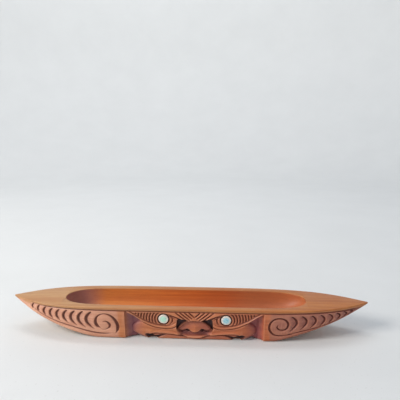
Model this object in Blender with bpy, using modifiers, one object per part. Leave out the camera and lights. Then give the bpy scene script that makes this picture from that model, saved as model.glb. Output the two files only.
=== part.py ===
"""Carved canoe-shaped wooden bowl with shell eye inlays, in metres, +Z up.

One block of wood with a pointed plan, a flat rim and a rocker base is hollowed from above and carved on
both long sides: a mask in the middle, a plain strip each side of it, and a spiral with a row of crescents
toward each tip. Four round shell eyes sit in drilled blind sockets. The origin is the middle of the base,
+X runs along the bowl and the front is the -Y side.
"""

import math

import bmesh
import bpy
import numpy as np
from mathutils import Matrix, Vector

MM = 0.001

# The block. Its plan is widest at BELLY_X, and a larger fullness keeps it wide for longer.
LENGTH = 370 * MM
WIDTH = 57 * MM
HEIGHT = 34 * MM
BELLY_X = -17 * MM
LEFT_FULLNESS = 4.73
RIGHT_FULLNESS = 5.35
TIP_SHARPNESS = 1.08
TIP_HALF_WIDTH = 0.5 * MM
TIP_DEPTH = 1.4 * MM
TIP_DROOP = 0.8 * MM  # how far the rim sinks toward the tips
SIDE_FLARE = 0.10  # the share of the width that a side loses over the full height
BILGE_ROUND = 2.5 * MM
EDGE_ROUND = 0.6 * MM

# The underside is flat in the middle and rises over these lengths to the tips.
ROCKER_LEFT = 95 * MM
ROCKER_RIGHT = 97 * MM
ROCKER_POWER_LEFT = 1.33
ROCKER_POWER_RIGHT = 1.12

# The hollow
RIM_WALL = 7.8 * MM
FLOOR = 8 * MM
DECK_LEFT = 56.5 * MM  # solid wood from the left tip to the hollow
DECK_RIGHT = 63 * MM
RUN_UP_LEFT = 32 * MM  # how long the floor takes to rise at each end
RUN_UP_RIGHT = 62 * MM
HOLLOW_END_FULLNESS = 8
HOLLOW_FLOOR_FULLNESS = 2.6

# The carved band starts this far below the rim, under a cut line.
RIM_BAND = 3.2 * MM
LINE_DEPTH = 0.9 * MM
LINE_STOP = 12 * MM  # from each tip

# The mask, on its own centre line, between two scooped notches
MASK_X = 9 * MM
MASK_HALF = 59.5 * MM
SCOOP_WIDTH_LEFT = 10.4 * MM
SCOOP_WIDTH_RIGHT = 8.6 * MM
SCOOP_DEPTH = 4.8 * MM
BROW_WIDTH = 38 * MM
CHEVRONS = 4
LID_CRESCENTS = 5
LID_CRESCENT_STEP = 2.3 * MM

# The eyes
EYE_SPACING = 62 * MM
EYE_BELOW_LINE = 8.3 * MM
EYE_DIAMETER = 10.2 * MM
EYE_THICKNESS = 2.4 * MM
EYE_DOME = 0.5 * MM
EYE_BEVEL = 0.5 * MM
EYE_PROUD = 0.3 * MM  # the inlay's crown stands this far out of the side
GLUE_GAP = 0.3 * MM  # round and under each inlay

# The end panels
STRIP_WIDTH = 5.5 * MM  # the plain strip between a scoop and a spiral
SPIRAL_RADIUS = 11.2 * MM
SPIRAL_TURNS = 1.6
SPIRAL_DEPTH = 1.3 * MM
CRESCENTS = 9
CRESCENT_DEPTH = 1.5 * MM
CRESCENT_GAP = 4 * MM  # from the spiral to the first crescent
PANEL_STOP_LEFT = 27 * MM  # from each tip to the last crescent
PANEL_STOP_RIGHT = 23 * MM
CRESCENT_MARGIN = 1.2 * MM  # above the border line and below the rim line
BORDER_RISE_LEFT = 3.6 * MM  # the border line runs this far above the underside
BORDER_RISE_RIGHT = 2 * MM

# How the cutters are made
OVERCUT = 4 * MM  # how far a cutter stands out of the surface that it opens
GOUGE_LIFT = 0.3  # a gouge's middle line stands this share of its depth out of the surface
STATIONS = 49

WOOD = (0.34, 0.115, 0.04)
SHELL = (0.72, 0.84, 0.76)
FRONT, BACK = -1, 1
LEFT, RIGHT = -1, 1


# ---- The block's surfaces ----


def half_width(x):
    """Half of the rim's width at x."""
    x = np.asarray(x, float)
    half = LENGTH / 2
    reach = np.where(x < BELLY_X, (BELLY_X - x) / (BELLY_X + half), (x - BELLY_X) / (half - BELLY_X))
    fullness = np.where(x < BELLY_X, LEFT_FULLNESS, RIGHT_FULLNESS)
    lens = np.clip(1 - reach**fullness, 0, 1) ** TIP_SHARPNESS
    return TIP_HALF_WIDTH + (WIDTH / 2 - TIP_HALF_WIDTH) * lens


def rim_height(x):
    return HEIGHT - TIP_DROOP * (np.asarray(x, float) / (LENGTH / 2)) ** 2


def line_height(x):
    """The height of the cut line under the rim, where the carved band starts."""
    return rim_height(x) - RIM_BAND


def base_height(x):
    """The height of the underside at x."""
    x = np.asarray(x, float)
    rocker = np.where(x < 0, ROCKER_LEFT, ROCKER_RIGHT)
    power = np.where(x < 0, ROCKER_POWER_LEFT, ROCKER_POWER_RIGHT)
    run = np.clip((np.abs(x) - LENGTH / 2 + rocker) / rocker, 0, 1)
    return (HEIGHT - TIP_DROOP - TIP_DEPTH) * run**power


def side_half_width(x, z):
    """Half of the block's width at x, at height z on its flared side."""
    return half_width(x) * (1 - SIDE_FLARE * (rim_height(x) - z) / HEIGHT)


def side_point(x, z, side, out=0.0):
    """The point on one side of the block, moved out of it along Y."""
    return Vector((x, side * (float(side_half_width(x, z)) + out), z))


def side_frame(x, z, side):
    """A frame on one side of the block: its X runs along the bowl, its Y up and its Z straight out."""
    step = 0.5 * MM
    along = (side_point(x + step, z, side) - side_point(x - step, z, side)).normalized()
    rise = side_point(x, z + step, side) - side_point(x, z - step, side)
    out = (along.cross(rise) * -side).normalized()
    up = out.cross(along) * -side
    spot = side_point(x, z, side)
    return Matrix([(along[i], up[i], out[i], spot[i]) for i in range(3)] + [(0, 0, 0, 1)])


# ---- Making and cutting ----


def new_object(name, data, collection):
    made = bpy.data.objects.new(name, data)
    collection.objects.link(made)
    return made


def new_collection(name):
    made = bpy.data.collections.new(name)
    bpy.context.scene.collection.children.link(made)
    return made


def move_to(made, name, collection):
    """Names a new primitive and puts it in its collection."""
    made.name = name
    for owner in list(made.users_collection):
        owner.objects.unlink(made)
    collection.objects.link(made)
    return made


def tidy(mesh):
    """Welds doubles and turns every face outward."""
    work = bmesh.new()
    work.from_mesh(mesh)
    bmesh.ops.remove_doubles(work, verts=work.verts, dist=0.001 * MM)
    bmesh.ops.recalc_face_normals(work, faces=work.faces)
    work.to_mesh(mesh)
    work.free()


def curve_to_mesh(curve, name, matrix, collection):
    """The curve's solid as a mesh object, its caps welded."""
    source = new_object(name, curve, bpy.context.scene.collection)
    source.matrix_world = matrix
    bpy.context.view_layer.update()
    mesh = bpy.data.meshes.new_from_object(source.evaluated_get(bpy.context.evaluated_depsgraph_get()))
    tidy(mesh)
    made = new_object(name, mesh, collection)
    made.matrix_world = matrix
    bpy.data.objects.remove(source)
    return made


def add_points(curve, points):
    spline = curve.splines.new("POLY")
    spline.points.add(len(points) - 1)
    for control, point in zip(spline.points, points):
        control.co = (*(float(value) for value in point), 1)
    return spline


def gouge(name, points, depth, matrix, collection):
    """A diamond-section cutter along a line of points, thinning toward both ends."""
    curve = bpy.data.curves.new(name, "CURVE")
    curve.dimensions = "3D"
    curve.twist_mode = "Z_UP"
    curve.fill_mode = "FULL"
    curve.bevel_depth = (1 + GOUGE_LIFT) * depth
    curve.bevel_resolution = 0
    curve.use_fill_caps = True
    spline = add_points(curve, points)
    for i, control in enumerate(spline.points):
        control.radius = 0.45 + 0.55 * math.sin(math.pi * i / (len(points) - 1)) ** 0.7
    return curve_to_mesh(curve, name, matrix, collection)


def prism(name, points, depth, matrix, collection):
    """A straight-walled cutter with this outline, running depth below the surface."""
    curve = bpy.data.curves.new(name, "CURVE")
    curve.dimensions = "2D"
    curve.fill_mode = "BOTH"
    curve.extrude = (depth + OVERCUT) / 2
    add_points(curve, [(*point, 0) for point in points]).use_cyclic_u = True
    shift = Matrix.Translation((0, 0, (OVERCUT - depth) / 2))
    return curve_to_mesh(curve, name, matrix @ shift, collection)


def bezier(start, control, end, count):
    """Points along a quadratic curve."""
    share = np.linspace(0, 1, count)[:, None]
    start, control, end = (np.array(point, float) for point in (start, control, end))
    return (1 - share) ** 2 * start + 2 * share * (1 - share) * control + share**2 * end


def cut_with(body, name, cutters):
    cut = body.modifiers.new(name, "BOOLEAN")
    cut.operation = "DIFFERENCE"
    cut.solver = "EXACT"
    cut.operand_type = "COLLECTION"
    cut.collection = cutters
    for cutter in cutters.objects:
        cutter.hide_render = True
        cutter.display_type = "WIRE"


# ---- The block and its hollow ----


def block(collection):
    """The uncarved block: one half as a loft through cross-sections along X, mirrored across Y."""
    rings = []
    for x in LENGTH / 2 * np.sin(np.linspace(-math.pi / 2, math.pi / 2, STATIONS)):
        width, top, base = float(half_width(x)), float(rim_height(x)), float(base_height(x))
        edge = min(EDGE_ROUND, (top - base) / 4, width / 3)
        bilge = min(BILGE_ROUND, (top - base) / 3, width / 2)
        foot = float(side_half_width(x, base + bilge))
        ring = [(0, top), (width - edge, top), (float(side_half_width(x, top - edge)), top - edge)]
        for turn in np.linspace(0, math.pi / 2, 4):
            ring.append((foot - bilge + bilge * math.cos(turn), base + bilge - bilge * math.sin(turn)))
        ring.append((0, base))
        rings.append([(x, y, z) for y, z in ring])
    rings = np.array(rings)
    count, around = rings.shape[:2]
    index = np.arange(count * around).reshape(count, around)
    quads = np.stack([index[:-1, :-1], index[1:, :-1], index[1:, 1:], index[:-1, 1:]], axis=-1)
    faces = quads.reshape(-1, 4).tolist() + [index[0].tolist(), index[-1][::-1].tolist()]
    mesh = bpy.data.meshes.new("bowl_body")
    mesh.from_pydata(rings.reshape(-1, 3).tolist(), [], faces)
    body = new_object("bowl_body", mesh, collection)
    mirror = body.modifiers.new("Both sides", "MIRROR")
    mirror.use_axis = (False, True, False)
    mirror.merge_threshold = 0.01 * MM
    return body


def hollow_cutter(collection):
    """The trough: parallel sides with round ends in plan, and a round floor that runs up at both ends."""
    start = -LENGTH / 2 + DECK_LEFT
    end = LENGTH / 2 - DECK_RIGHT
    middle, half = (start + end) / 2, (end - start) / 2
    turn = np.linspace(0, math.pi, 17)
    power = 2 / HOLLOW_FLOOR_FULLNESS
    across = np.sign(np.cos(turn)) * np.abs(np.cos(turn)) ** power
    down = np.abs(np.sin(turn)) ** power
    rings = []
    for x in middle + half * np.sin(np.linspace(-0.497, 0.497, 35) * math.pi):
        width = (WIDTH / 2 - RIM_WALL) * math.sqrt(1 - abs((x - middle) / half) ** HOLLOW_END_FULLNESS)
        near = min((x - start) / RUN_UP_LEFT, (end - x) / RUN_UP_RIGHT, 1)
        depth = (HEIGHT - FLOOR) * math.sqrt(1 - (1 - near) ** 2)
        ring = [(x, width, HEIGHT + OVERCUT)]
        ring += [(x, width * y, HEIGHT - depth * z) for y, z in zip(across, down)]
        ring += [(x, -width, HEIGHT + OVERCUT)]
        rings.append(ring)
    rings = np.array(rings)
    count, around = rings.shape[:2]
    index = np.arange(count * around).reshape(count, around)
    beside = np.roll(index, -1, axis=1)
    quads = np.stack([index[:-1], beside[:-1], beside[1:], index[1:]], axis=-1)
    faces = quads.reshape(-1, 4).tolist() + [index[0][::-1].tolist(), index[-1].tolist()]
    mesh = bpy.data.meshes.new("hollow")
    mesh.from_pydata(rings.reshape(-1, 3).tolist(), [], faces)
    tidy(mesh)
    new_object("hollow", mesh, collection)


# ---- The carving on one side ----


def side_line(name, xs, zs, side, collection):
    """A cut line that follows the side of the block."""
    points = [side_point(x, z, side, GOUGE_LIFT * LINE_DEPTH) for x, z in zip(xs, zs)]
    gouge(name, points, LINE_DEPTH, Matrix.Identity(4), collection)


def rim_line(side, collection):
    """The line that sets the rim band off from the carved band."""
    xs = np.linspace(-LENGTH / 2 + LINE_STOP, LENGTH / 2 - LINE_STOP, 41)
    side_line("rim_line", xs, line_height(xs), side, collection)


def scoop_span(hand):
    """Where a scoop starts and ends along X, its mask side first."""
    width = SCOOP_WIDTH_LEFT if hand == LEFT else SCOOP_WIDTH_RIGHT
    inner = MASK_X + hand * MASK_HALF
    return inner, inner + hand * width


def scoop(hand, side, collection):
    """The deep round notch between a cheek and its plain strip, from the base to the rim line."""
    inner, outer = scoop_span(hand)
    x, half = (inner + outer) / 2, abs(outer - inner) / 2
    top = float(line_height(x))
    radius = (half**2 + SCOOP_DEPTH**2) / (2 * SCOOP_DEPTH)
    spot = side_point(x, top, side, radius - SCOOP_DEPTH)
    bpy.ops.mesh.primitive_cylinder_add(vertices=24, radius=radius, depth=top + OVERCUT)
    cutter = move_to(bpy.context.object, "scoop", collection)
    cutter.location = (spot.x, spot.y, (top - OVERCUT) / 2)


def mask_lines(hand, side, collection):
    """One half of the mask: the eye's outline and crescents, brow chevrons, nostril, lip and nose pit.

    A place is given across from the mask's centre line, in shares of MASK_HALF, and up from the base, in
    shares of the carved band's height."""
    band = float(line_height(MASK_X))
    frame = side_frame(MASK_X, band / 2, side)

    def place(across, up):
        return np.array((hand * across * MASK_HALF, (up - 0.5) * band))

    def cut(points, depth):
        gouge("mask_line", [(*point, GOUGE_LIFT * depth) for point in points], depth, frame, collection)

    cut(bezier(place(1.0, 0.925), place(0.555, 0.146), place(0.3, 0.714), 9), 1.1 * MM)
    eye = np.array((hand * EYE_SPACING / 2, band / 2 - EYE_BELOW_LINE))
    for ring in range(LID_CRESCENTS):
        radius = EYE_DIAMETER / 2 + GLUE_GAP + LID_CRESCENT_STEP * (1 + ring)
        turns = np.radians(36 - 4 * ring) * np.linspace(-1, 1, 5)
        cut([eye + radius * np.array((hand * math.cos(t), math.sin(t))) for t in turns], 0.8 * MM)
    brow = BROW_WIDTH / 2 / MASK_HALF
    for share in np.linspace(0, 1, CHEVRONS + 1)[1:]:
        cut([place(brow * share, 0.94), place(0.01 + 0.14 * share, 0.81 - 0.15 * share)], 0.9 * MM)
    cut(bezier(place(0.25, 0.373), place(0.15, 0.18), place(0.025, 0.26), 5), 1.2 * MM)
    cut(bezier(place(0.72, 0.13), place(0.5, 0.34), place(0.05, 0.085), 8), 1.3 * MM)
    pit = ((0.32, 0.81), (0.21, 0.7), (0.175, 0.57), (0.26, 0.405), (0.3, 0.52))
    prism("nose_pit", [place(*corner) for corner in pit], 3 * MM, frame, collection)


def end_panel(hand, side, collection):
    """A spiral by the strip and a row of crescents beyond it, shrinking between two lines to the tip."""
    stop = PANEL_STOP_LEFT if hand == LEFT else PANEL_STOP_RIGHT
    rise = BORDER_RISE_LEFT if hand == LEFT else BORDER_RISE_RIGHT
    middle = scoop_span(hand)[1] + hand * (STRIP_WIDTH + SPIRAL_RADIUS)
    last = hand * (LENGTH / 2 - stop)
    height = float(line_height(middle) + base_height(middle)) / 2

    def border(x):
        return np.maximum(base_height(x) + rise, height - SPIRAL_RADIUS)

    turns = np.linspace(0, SPIRAL_TURNS * 2 * math.pi, 21)
    radii = SPIRAL_RADIUS * (1 - 0.78 * turns / turns[-1])
    lift = np.full(len(turns), GOUGE_LIFT * SPIRAL_DEPTH)
    spiral = np.stack([-hand * radii * np.sin(turns), -radii * np.cos(turns), lift], axis=-1)
    gouge("spiral", spiral, SPIRAL_DEPTH, side_frame(middle, height, side), collection)
    xs = np.linspace(middle, last, 12)
    side_line("border", xs, border(xs), side, collection)
    first = middle + hand * (SPIRAL_RADIUS + CRESCENT_GAP)
    for share in np.linspace(0, 1, CRESCENTS):
        x = float(last + (first - last) * (1 - share) ** 1.15)
        low, high = float(border(x)) + CRESCENT_MARGIN, float(line_height(x)) - CRESCENT_MARGIN
        reach = (high - low) / 2
        depth = CRESCENT_DEPTH * (0.45 + 0.55 * reach / SPIRAL_RADIUS)
        ups = np.linspace(-1, 1, 6)
        bow = -hand * 0.34 * reach * ups**2
        arc = np.stack([bow, reach * ups, np.full(6, GOUGE_LIFT * depth)], axis=-1)
        gouge("crescent", arc, depth, side_frame(x, (low + high) / 2, side), collection)


# ---- The eyes ----


def eye_frame(hand, side):
    """The frame of one eye on the side, its Z out of the wood."""
    x = MASK_X + hand * EYE_SPACING / 2
    return side_frame(x, float(line_height(x)) - EYE_BELOW_LINE, side)


def eye_socket(hand, side, collection):
    """The drilled blind hole that holds one inlay."""
    depth = EYE_THICKNESS - EYE_PROUD + GLUE_GAP
    radius = EYE_DIAMETER / 2 + GLUE_GAP
    bpy.ops.mesh.primitive_cylinder_add(vertices=32, radius=radius, depth=depth + OVERCUT)
    cutter = move_to(bpy.context.object, "eye_socket", collection)
    cutter.matrix_world = eye_frame(hand, side) @ Matrix.Translation((0, 0, (OVERCUT - depth) / 2))


def eye_inlay(name, hand, side, collection):
    """A shell disc with a bevelled rim and a low dome, turned about its own axis."""
    crown = EYE_DIAMETER / 2 - EYE_BEVEL
    profile = [(share * crown, -EYE_DOME * share**2) for share in (0, 0.33, 0.66, 1)]
    profile += [(EYE_DIAMETER / 2, -EYE_DOME - EYE_BEVEL), (EYE_DIAMETER / 2, -EYE_THICKNESS)]
    profile += [(0, -EYE_THICKNESS)]
    mesh = bpy.data.meshes.new(name)
    edges = [(i, i + 1) for i in range(len(profile) - 1)]
    mesh.from_pydata([(r, 0, z) for r, z in profile], edges, [])
    inlay = new_object(name, mesh, collection)
    turned = inlay.modifiers.new("Turned", "SCREW")
    turned.steps = turned.render_steps = 32
    turned.use_merge_vertices = True
    turned.merge_threshold = 0.01 * MM
    turned.use_smooth_shade = True
    inlay.matrix_world = eye_frame(hand, side) @ Matrix.Translation((0, 0, EYE_PROUD))
    return inlay


def material(name, colour, roughness, coat):
    made = bpy.data.materials.new(name)
    made.use_nodes = True
    shader = made.node_tree.nodes["Principled BSDF"]
    shader.inputs["Base Color"].default_value = (*colour, 1)
    shader.inputs["Roughness"].default_value = roughness
    shader.inputs["Coat Weight"].default_value = coat
    made.diffuse_color = (*colour, 1)
    return made


def main():
    for old in list(bpy.data.objects):
        bpy.data.objects.remove(old)
    parts = new_collection("carved_bowl")
    body = block(parts)
    body.data.materials.append(material("carved_wood", WOOD, 0.42, 0.25))
    hollow = new_collection("hollow_cutters")
    hollow_cutter(hollow)
    cut_with(body, "Hollow", hollow)
    shell = material("inlay_shell", SHELL, 0.18, 0.6)
    deep = new_collection("deep_cutters")
    lines = {}
    for side, face in ((FRONT, "front"), (BACK, "back")):
        fine = lines[face] = new_collection(f"{face}_line_cutters")
        rim_line(side, fine)
        for hand, end in ((LEFT, "left"), (RIGHT, "right")):
            scoop(hand, side, deep)
            eye_socket(hand, side, deep)
            mask_lines(hand, side, fine)
            end_panel(hand, side, fine)
            inlay = eye_inlay(f"eye_inlay_{face}_{end}", hand, side, parts)
            inlay.data.materials.append(shell)
    cut_with(body, "Scoops and sockets", deep)
    for face, cutters in lines.items():
        cut_with(body, f"Carved lines, {face}", cutters)


main()
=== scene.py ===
"""The looks of a carved, canoe-shaped wooden bowl with round shell eyes.

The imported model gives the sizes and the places. The plain block is replaced by one closed skin with the
full carving on both long sides, and each plain eye disc by a domed shell. Lengths in the shape functions
are millimetres: x runs along the bowl, z up, and "in" is how far a long side is cut toward the middle.
"""

import math

import bmesh
import bpy
import numpy as np
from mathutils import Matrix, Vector


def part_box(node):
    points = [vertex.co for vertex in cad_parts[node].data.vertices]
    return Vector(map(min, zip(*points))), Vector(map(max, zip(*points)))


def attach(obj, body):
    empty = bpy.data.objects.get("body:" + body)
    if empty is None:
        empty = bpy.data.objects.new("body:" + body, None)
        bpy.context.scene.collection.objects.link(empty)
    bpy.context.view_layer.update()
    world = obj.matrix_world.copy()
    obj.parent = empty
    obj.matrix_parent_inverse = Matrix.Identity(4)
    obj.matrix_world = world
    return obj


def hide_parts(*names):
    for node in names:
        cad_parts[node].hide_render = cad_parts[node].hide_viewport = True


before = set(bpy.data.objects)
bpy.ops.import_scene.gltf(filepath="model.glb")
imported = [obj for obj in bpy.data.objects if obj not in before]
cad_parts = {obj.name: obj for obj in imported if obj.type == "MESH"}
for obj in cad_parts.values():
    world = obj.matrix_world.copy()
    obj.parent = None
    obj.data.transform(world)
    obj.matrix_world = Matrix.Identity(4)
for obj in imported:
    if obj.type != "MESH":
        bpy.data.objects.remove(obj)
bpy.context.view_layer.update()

MM = 0.001
LEFT, RIGHT = -1, 1

# ---- The camera, the first thing made ----

CAMERA_PLACE = Vector((33.0, -393.1, 210.8)) * MM
CAMERA_HEADING = math.radians(2.92)  # turned left of the bowl's depth axis
CAMERA_PITCH = math.radians(10.5)  # looking down
CAMERA_LENS = 36.1
CAMERA_SENSOR = 36  # the side of its square frame


def make_camera():
    """The camera stands in front of the bowl, a little to its right, and looks down on it."""
    data = bpy.data.cameras.new("Camera")
    data.sensor_fit = "HORIZONTAL"
    data.sensor_width = CAMERA_SENSOR
    data.lens = CAMERA_LENS
    data.clip_start = 0.01
    camera = bpy.data.objects.new("Camera", data)
    camera.location = CAMERA_PLACE
    camera.rotation_euler = (math.pi / 2 - CAMERA_PITCH, 0, CAMERA_HEADING)
    bpy.context.scene.collection.objects.link(camera)
    bpy.context.scene.camera = camera


make_camera()

# ---- The block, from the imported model's box ----

HALF_LENGTH, HALF_WIDTH, HEIGHT = np.array(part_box("bowl_body")[1]) / MM

BELLY_X = -17.0  # where the bowl is widest
LEFT_FULLNESS = 4.73  # the power of the rim's curve on each side of the belly
RIGHT_FULLNESS = 5.35
TIP_SHARPNESS = 1.08
TIP_HALF_WIDTH = 0.5
TIP_DEPTH = 1.4  # of wood at each tip
TIP_DROOP = 0.8  # how much lower the rim is there
SIDE_FLARE = 0.10
BILGE_ROUND = 2.5
EDGE_ROUND = 0.8
ROCKER_LEFT = 95.0  # from the tip to where the underside is flat
ROCKER_RIGHT = 97.0
ROCKER_POWER_LEFT = 1.33
ROCKER_POWER_RIGHT = 1.12

RIM_WALL = 7.8
FLOOR = 8.0
DECK_LEFT = 56.5  # from the tip to the hollow
DECK_RIGHT = 63.0
RUN_UP_LEFT = 32.0  # the length over which the hollow's floor rises to the rim
RUN_UP_RIGHT = 62.0
HOLLOW_END_FULLNESS = 8.0
HOLLOW_FLOOR_FULLNESS = 2.6
HOLLOW_EDGE_ROUND = 0.7
HOLLOW_START = -HALF_LENGTH + DECK_LEFT
HOLLOW_END = HALF_LENGTH - DECK_RIGHT

RIM_BAND = 3.2  # the plain band over the cut line
LINE_CLIMB = 1.3
LINE_CLIMB_START = -140.0
LINE_CLIMB_RUN = 22.0
MASK_X = 9.0  # the mask's centre line


def smooth(share):
    """0 to 1 with level ends: three times the share squared, less twice its cube."""
    share = np.clip(share, 0, 1)
    return share * share * (3 - 2 * share)


def half_width(x):
    """Half of the rim's width: a lens whose two halves are 1 minus a power of the reach from the belly."""
    leftward = (BELLY_X - x) / (BELLY_X + HALF_LENGTH)
    rightward = (x - BELLY_X) / (HALF_LENGTH - BELLY_X)
    reach = np.where(x < BELLY_X, leftward, rightward)
    fullness = np.where(x < BELLY_X, LEFT_FULLNESS, RIGHT_FULLNESS)
    lens = np.clip(1 - reach**fullness, 0, 1) ** TIP_SHARPNESS
    return TIP_HALF_WIDTH + (HALF_WIDTH - TIP_HALF_WIDTH) * lens


def rim_height(x):
    """The rim sinks toward the tips with the square of x."""
    return HEIGHT - TIP_DROOP * (x / HALF_LENGTH) ** 2


def line_height(x):
    """The cut line under the rim, where the carved band starts. It climbs a little at the left end."""
    return rim_height(x) - RIM_BAND + LINE_CLIMB * smooth((LINE_CLIMB_START - x) / LINE_CLIMB_RUN)


def base_height(x):
    """The underside is flat in the middle and rises toward each tip with a power of the run."""
    rocker = np.where(x < 0, ROCKER_LEFT, ROCKER_RIGHT)
    power = np.where(x < 0, ROCKER_POWER_LEFT, ROCKER_POWER_RIGHT)
    run = np.clip((np.abs(x) - HALF_LENGTH + rocker) / rocker, 0, 1)
    return (HEIGHT - TIP_DROOP - TIP_DEPTH) * run**power


def side_half_width(x, z):
    """The sides lean in toward the underside by SIDE_FLARE of the width over the full height."""
    return half_width(x) * (1 - SIDE_FLARE * (rim_height(x) - z) / HEIGHT)


# ---- The carving of one long side, as a height map ----

MAP_STEP = 0.2

# The roundness of each tool's cut: 1 is a V, 2 a parabola, and more is flatter at the bottom
SKEW = 1.2
V_TOOL = 1.4
KNIFE = 1.6
VEINER = 1.8
GOUGE = 2.4


def through(points, steps=8):
    """A smooth line through rows of numbers: each stretch is the cubic along its neighbours' chords."""
    points = np.array(points, float)
    padded = np.concatenate([2 * points[:1] - points[1:2], points, 2 * points[-1:] - points[-2:-1]])
    before, start, end, after = padded[:-3], padded[1:-2], padded[2:-1], padded[3:]
    share = np.linspace(0, 1, steps, endpoint=False)[:, None, None]
    line = start + share * (end - before) / 2
    line = line + share**2 * (2 * before - 5 * start + 4 * end - after) / 2
    line = line + share**3 * (3 * start - before - 3 * end + after) / 2
    return np.concatenate([line.transpose(1, 0, 2).reshape(-1, points.shape[1]), points[-1:]])


class Carving:
    """How far in each point of a long side is cut, on a map of x and z.

    The broad shaping and the tool cuts add up. Tint is stain outside the cuts and painted shade round the
    nose, and the pit mark is painted shadow in the deepest holes.
    """

    def __init__(self):
        self.xs = np.arange(-HALF_LENGTH, HALF_LENGTH + MAP_STEP, MAP_STEP)
        self.zs = np.arange(0, HEIGHT + MAP_STEP, MAP_STEP)
        self.x, self.z = np.meshgrid(self.xs, self.zs, indexing="ij")
        self.shaping = np.zeros(self.x.shape)
        self.cuts = np.zeros(self.x.shape)
        self.tint = np.zeros(self.x.shape)
        self.pit = np.zeros(self.x.shape)

    def window(self, points, margin):
        """The part of the map round these points, as two slices."""
        low = points[:, :2].min(axis=0) - margin
        high = points[:, :2].max(axis=0) + margin
        x0, x1 = np.searchsorted(self.xs, (low[0], high[0]))
        z0, z1 = np.searchsorted(self.zs, (low[1], high[1]))
        return slice(x0, x1), slice(z0, z1)

    def nearest(self, path, margin):
        """For each map point near the path: the smallest distance, in path widths, and the depth there."""
        part = self.window(path, margin)
        x, z = self.x[part][..., None], self.z[part][..., None]
        start, run = path[:-1], np.diff(path, axis=0)
        length = np.maximum((run[:, :2] ** 2).sum(axis=1), 1e-9)
        along = ((x - start[:, 0]) * run[:, 0] + (z - start[:, 1]) * run[:, 1]) / length
        along = np.clip(along, 0, 1)
        gap = np.hypot(x - start[:, 0] - along * run[:, 0], z - start[:, 1] - along * run[:, 1])
        share = gap / np.maximum(start[:, 2] + along * run[:, 2], 0.05)
        best = share.argmin(axis=-1)[..., None]
        depth = start[:, 3] + along * run[:, 3]
        return part, np.take_along_axis(share, best, -1)[..., 0], np.take_along_axis(depth, best, -1)[..., 0]

    def stroke(self, points, roundness):
        """A tool's cut along a smooth line of x, z, half width and depth.

        Its section is the depth times 1 minus the distance from the line, in half widths, to the roundness.
        """
        path = through(points)
        part, share, depth = self.nearest(path, path[:, 2].max())
        cut = np.zeros(self.x.shape)
        cut[part] = depth * (1 - np.clip(share, 0, 1) ** roundness)
        return cut

    def cut(self, depth):
        """Takes a field of depths out of the side. Where cuts cross, the deepest counts."""
        self.cuts = np.maximum(self.cuts, depth)

    def groove(self, points, roundness, within=1.0):
        """Cuts along a line, as far as the mask lets it."""
        self.cut(self.stroke(points, roundness) * within)

    def tinge(self, share):
        """Darkens a field outside the cuts: a stain in the leaf, and painted shade in the sunk ground round
        the nose.
        """
        self.tint = np.maximum(self.tint, share)

    def darken(self, share):
        """Paints shadow over a field, dark as the shade in a deep pit."""
        self.pit = np.maximum(self.pit, share)

    def inside(self, outline, slope):
        """A mask that is 1 inside a closed outline and falls to 0 over the slope, inward of its edge."""
        path = through([*outline, outline[0]])
        path = np.column_stack([path, np.ones(len(path)), np.ones(len(path))])
        part, gap, _ = self.nearest(path, slope)
        x, z = self.x[part][..., None], self.z[part][..., None]
        start, end = path[:-1], path[1:]
        spans = (start[:, 1] > z) != (end[:, 1] > z)
        rise = np.where(end[:, 1] == start[:, 1], 1, end[:, 1] - start[:, 1])
        crossing = start[:, 0] + (z - start[:, 1]) * (end[:, 0] - start[:, 0]) / rise
        within = (spans & (x < crossing)).sum(axis=-1) % 2
        mask = np.zeros(self.x.shape)
        mask[part] = within * smooth(gap / slope)
        return mask

    def dish(self, x, z, reach_x, reach_z):
        """A round bump or dip over an ellipse: the square of 1 minus the reach squared."""
        r2 = ((self.x - x) / reach_x) ** 2 + ((self.z - z) / reach_z) ** 2
        return np.clip(1 - r2, 0, 1) ** 2

    def sample(self, field, x, z):
        """The map at any x and z, straight between its points."""
        u = np.clip((x - self.xs[0]) / MAP_STEP, 0, len(self.xs) - 1.001)
        v = np.clip((z - self.zs[0]) / MAP_STEP, 0, len(self.zs) - 1.001)
        i, j = u.astype(int), v.astype(int)
        u, v = u - i, v - j
        near = field[i, j] * (1 - v) + field[i, j + 1] * v
        far = field[i + 1, j] * (1 - v) + field[i + 1, j + 1] * v
        return near * (1 - u) + far * u


def soften(field, radius):
    """The field averaged over a square of twice the radius, in map steps."""
    for axis in (0, 1):
        size = 2 * radius + 1
        pad = [(0, 0), (0, 0)]
        pad[axis] = (radius + 1, radius)
        total = np.cumsum(np.pad(field, pad, mode="edge"), axis=axis)
        upper = np.take(total, range(size, total.shape[axis]), axis)
        lower = np.take(total, range(total.shape[axis] - size), axis)
        field = (upper - lower) / size
    return field


# The places of the carving. What is in a pair is given as distances from the mask's centre line. A row is
# x and z, and on a tool's line also the cut's half width and depth there.

LINE_HALF_WIDTH = 1.1
LINE_DEPTH = 1.1
LINE_STOP_LEFT = 25.0
LINE_STOP_RIGHT = 9.0
LINE_FADE_LEFT = 20
LINE_FADE_RIGHT = 8
LINE_FAINTEST = 0.25

SCOOP_EDGE = {LEFT: -60.9, RIGHT: 77.1}  # the crisp edge by the plain strip
SCOOP_FALL = 8.2
SCOOP_RISE = 13.0
SCOOP_DEPTH = 4.6
SCOOP_WIDER_ABOVE = 8.5  # how much further from that edge the valley lies under the lid
SCOOP_WIDER_BELOW = 5.5  # the same at the base

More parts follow.
